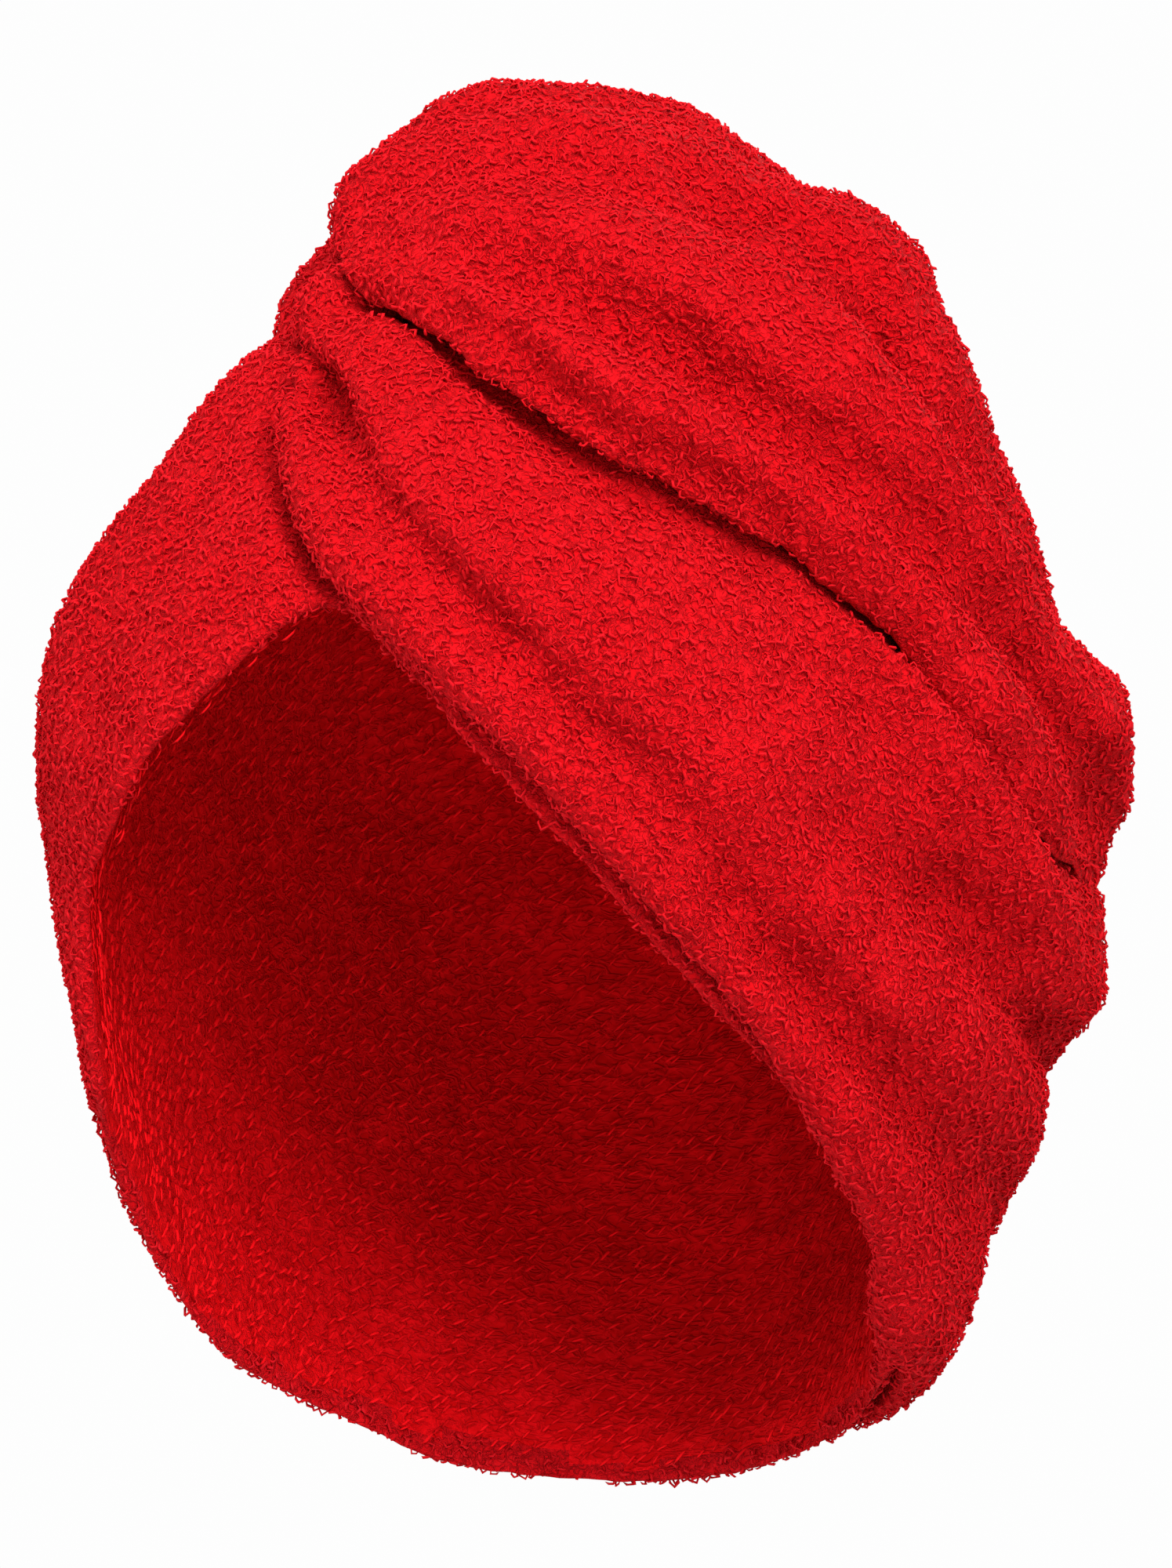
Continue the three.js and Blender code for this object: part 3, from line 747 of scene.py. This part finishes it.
def yarn_red(name, dark, light, root, contrast, middle, drift):
    """Curls of yarn, painted lighter toward the tip and darker at the root and in creases. The middle
    tone and its drift over the cloth come from two small functions.
    """
    graph = Graph(name)
    shade, tip = graph.attribute("shade"), graph.attribute("tip")
    spot = graph.place()
    tone = ((shade - 0.5) * contrast + (drift(graph) - 0.5) * 1.2 + middle(graph)).held()
    body = graph.mix(tone, dark, light)
    # Painted highlight toward each curl's tip, and painted shade at its root and in the creases.
    painted_tip_light_and_shade = (tip * 1.6 - 0.1).held() * (1 - graph.attribute("fold") * 0.6)
    colour = graph.mix(painted_tip_light_and_shade, root, body)
    fuzz = graph.bump(graph.noise(spot, 3000.0, 2.0), 0.3, 0.0002)
    return graph.cloth(colour, 0.92 - tone * 0.1, fuzz, 0.08)


def ground_red(name, dark, light, spot_turn, spot_scale, grain, strength):
    """Loops that lie deeper: two layers of winding ridges, with painted shade between them and a painted
    highlight on top.
    """
    graph = Graph(name)
    spot = graph.place(spot_turn, spot_scale)
    upper = graph.worms(spot, grain, 1.2)
    lower = graph.worms(spot, grain * 0.73, 0.6)
    height = upper.maths("MAXIMUM", lower * 0.75)
    drift = graph.noise(spot, 60.0, 3.0, 0.6)
    # The tone is painted highlight on the ridges and painted shade between them, darkened further in the
    # creases.
    tone = (height * 0.8 + (drift - 0.5) * 0.8 + 0.1).held() * (1 - graph.attribute("fold") * 0.6)
    colour = graph.mix(tone, dark, light)
    return graph.cloth(colour, 0.95 - tone * 0.08, graph.bump(height, strength, 0.0008), 0.08)


def even_tone(graph):
    return 0.55


def painted_light_where_single_layer(graph):
    # Painted light and shade: the lining is lighter where the hood is the only layer and darker under the
    # wraps.
    return graph.attribute("thin") * 0.6 + 0.2


def patches(graph):
    """Soft spots, as on any pile that has been brushed by a hand."""
    return graph.noise(graph.place(), 60.0, 3.0, 0.6)


def strokes(graph):
    """Slanting streaks, left by the pull of the head on the lining."""
    return (graph.noise(graph.place(LINING_TURN, STREAK), 210.0, 2.0, 0.5) - 0.5) * 2.4 + 0.5


# The third colour of each yarn is its root's, darker: painted shade at the foot of each curl.
outer_yarn = yarn_red(
    "outer yarn", (0.55, 0.0034, 0.0076, 1), (0.66, 0.0078, 0.0146, 1), (0.52, 0.0020, 0.0050, 1), 0.4,
    even_tone, patches,
)
# The lining's light colour is reached only where the hood is the only layer: painted light.
lining_yarn = yarn_red(
    "lining yarn", (0.46, 0.0014, 0.0034, 1), (0.98, 0.0044, 0.0090, 1), (0.56, 0.0012, 0.0030, 1), 0.3,
    painted_light_where_single_layer, strokes,
)
outer_ground = ground_red(
    "outer ground", (0.52, 0.0020, 0.0050, 1), (0.66, 0.0050, 0.0100, 1), (0, 0, 0), (1, 1, 1),
    560.0, 0.9,
)
# Painted light: the lining ground's colours are paler than the outer ground's, to brighten the hollow.
lining_ground = ground_red(
    "lining ground", (0.58, 0.0012, 0.0026, 1), (0.84, 0.0032, 0.0074, 1), LINING_TURN,
    GROUND_STREAK, 430.0, 0.8,
)
print("towelling:", [skin.name for skin in (outer_yarn, lining_yarn, outer_ground, lining_ground)])

# %% Give each piece its cloth
for piece in (hood, side_fold, tail):
    piece.data.materials.clear()
    piece.data.materials.append(outer_ground)
    piece.data.polygons.foreach_set("use_smooth", [True] * len(piece.data.polygons))
hood.data.materials.append(lining_ground)
head_side = np.empty(len(hood.data.vertices), np.float32)
hood.data.attributes["head_side"].data.foreach_get("value", head_side)
slots = [int(np.mean([head_side[v] for v in face.vertices]) > 0.5) for face in hood.data.polygons]
hood.data.polygons.foreach_set("material_index", slots)
for name, pile in piles.items():
    pile.data.materials.clear()
    pile.data.materials.append(lining_yarn if name == "lining_pile" else outer_yarn)
    pile.data.polygons.foreach_set("material_index", [0] * len(pile.data.polygons))
print("lining faces:", sum(slots), "of", len(slots))

# %% [markdown]
# ## The button and its loop
# At the nape a red button holds the tail's elastic loop. Its solid is already the right shape, so it
# stays and only gets a finish: a smooth button, and fine ribs where the elastic runs round it.

# %% Finish the clasp
BUTTON_RADIUS = 0.0108
low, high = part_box("clasp")
clasp_middle = (low + high) / 2
graph = Graph("button and elastic")
spot = graph.add("ShaderNodeTexCoord", out="Object")
arm = graph.add(
    "ShaderNodeVectorMath", {"operation": "SUBTRACT"}, {0: spot, 1: tuple(clasp_middle)},
)
reach = graph.add("ShaderNodeVectorMath", {"operation": "LENGTH"}, {0: arm}, "Value")
elastic = ((reach - BUTTON_RADIUS) * 4000).held()
ribs = graph.add(
    "ShaderNodeTexWave", {"wave_type": "BANDS", "bands_direction": "X"},
    {"Vector": spot, "Scale": 700.0, "Distortion": 1.5},
)
speckle = graph.noise(spot, 300.0, 3.0)
colour = graph.mix(elastic, (0.42, 0.0050, 0.0090, 1), (0.30, 0.0035, 0.0070, 1))
colour = graph.mix((speckle - 0.35).held(), colour, (0.55, 0.0080, 0.0140, 1))
normal = graph.bump(ribs * elastic + speckle * 0.15, 0.5, 0.0003)
clasp_skin = graph.cloth(colour, 0.32 + elastic * 0.5, normal, 0.0)
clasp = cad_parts["clasp"]
clasp.data.materials.clear()
clasp.data.materials.append(clasp_skin)
print("clasp between", [round(x, 4) for x in low], "and", [round(x, 4) for x in high])

# %% [markdown]
# ## A pale studio
# Four broad soft lamps stand round the turban: the key high in front, one in front on the wearer's
# left, which also reaches into the hollow, one at the wearer's right and one behind. A pale floor
# gives light back from below. The dome only shows as background and lights nothing.

# %% Floor, dome and lamps
FLOOR_HEIGHT, SKY_STRENGTH = -0.29, 0.30
LAMP_COLUMNS = ("name", "turn", "tilt", "distance", "size", "power")
LAMPS = [
    ("key", 14, 44, 1.7, 1.1, 22),
    ("front", 42, 19, 1.9, 0.8, 30),
    ("side", -66, 6, 1.9, 1.1, 18),
    ("back", 172, 42, 2.0, 1.0, 18),
]


def plain_skin(name, colour, glow):
    """A plain floor with no glow, or a background that only glows."""
    graph = Graph(name)
    if glow:
        skin = graph.add("ShaderNodeEmission", {}, {"Color": colour, "Strength": glow})
    else:
        skin = graph.add("ShaderNodeBsdfPrincipled", {}, {"Base Color": colour, "Roughness": 0.9})
    output = graph.nodes.new("ShaderNodeOutputMaterial")
    graph.links.new(skin.socket, output.inputs["Surface"])
    return graph.material


def stage_piece(name, body, skin):
    mesh = bpy.data.meshes.new(name)
    body.to_mesh(mesh)
    body.free()
    mesh.materials.append(skin)
    piece = bpy.data.objects.new(name, mesh)
    bpy.context.scene.collection.objects.link(piece)
    return piece


body = bmesh.new()
bmesh.ops.create_circle(
    body, cap_ends=True, segments=96, radius=6.0, matrix=Matrix.Translation((0, 0, FLOOR_HEIGHT)),
)
floor = stage_piece("floor", body, plain_skin("pale floor", (0.66, 0.66, 0.66, 1), 0))
body = bmesh.new()
bmesh.ops.create_uvsphere(body, u_segments=48, v_segments=24, radius=9.0)
bmesh.ops.reverse_faces(body, faces=body.faces)
dome = stage_piece("dome", body, plain_skin("white dome", (0.985, 0.985, 0.985, 1), 1.0))
dome.visible_diffuse = dome.visible_glossy = dome.visible_shadow = False
dome.visible_transmission = dome.visible_volume_scatter = False


def soft_lamp(name, turn, tilt, distance, size, power):
    lamp = bpy.data.lights.new(name, "AREA")
    lamp.shape = "DISK"
    lamp.size = size
    lamp.energy = power
    holder = bpy.data.objects.new(name, lamp)
    way = Vector(direction(turn, tilt))
    holder.location = way * distance
    holder.rotation_euler = (-way).to_track_quat("-Z", "Y").to_euler()
    bpy.context.scene.collection.objects.link(holder)
    return holder


for row in LAMPS:
    soft_lamp(**dict(zip(LAMP_COLUMNS, row)))
world = bpy.data.worlds.new("soft sky")
world.use_nodes = True
world.node_tree.nodes["Background"].inputs["Color"].default_value = (1, 1, 1, 1)
world.node_tree.nodes["Background"].inputs["Strength"].default_value = SKY_STRENGTH
bpy.context.scene.world = world
bpy.context.scene.view_settings.view_transform = "Standard"
print("lamps:", [row[0] for row in LAMPS])

# %% [markdown]
# ## On the turban's body
# Each piece and its pile ride on the turban's one body, and the solid each piece replaces is hidden. The
# wrapped folds are padded pieces, and the hood is a sheet of cloth sewn to shape.

# %% Tie the pieces to the frame
standing = {
    "hood": (hood, ["hood_pile_front", "hood_pile_back", "lining_pile"]),
    "side_fold": (side_fold, ["side_fold_pile"]),
    "tail": (tail, ["tail_pile_front", "tail_pile_back"]),
}
for node, (piece, its_piles) in standing.items():
    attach(piece, "root")
    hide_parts(node)
    for name in its_piles:
        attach(piles[name], "root")
both_faces = sum(face.area for face in hood.data.polygons)
print("hood cloth, one face:", round(both_faces / 2, 4), "square metres")
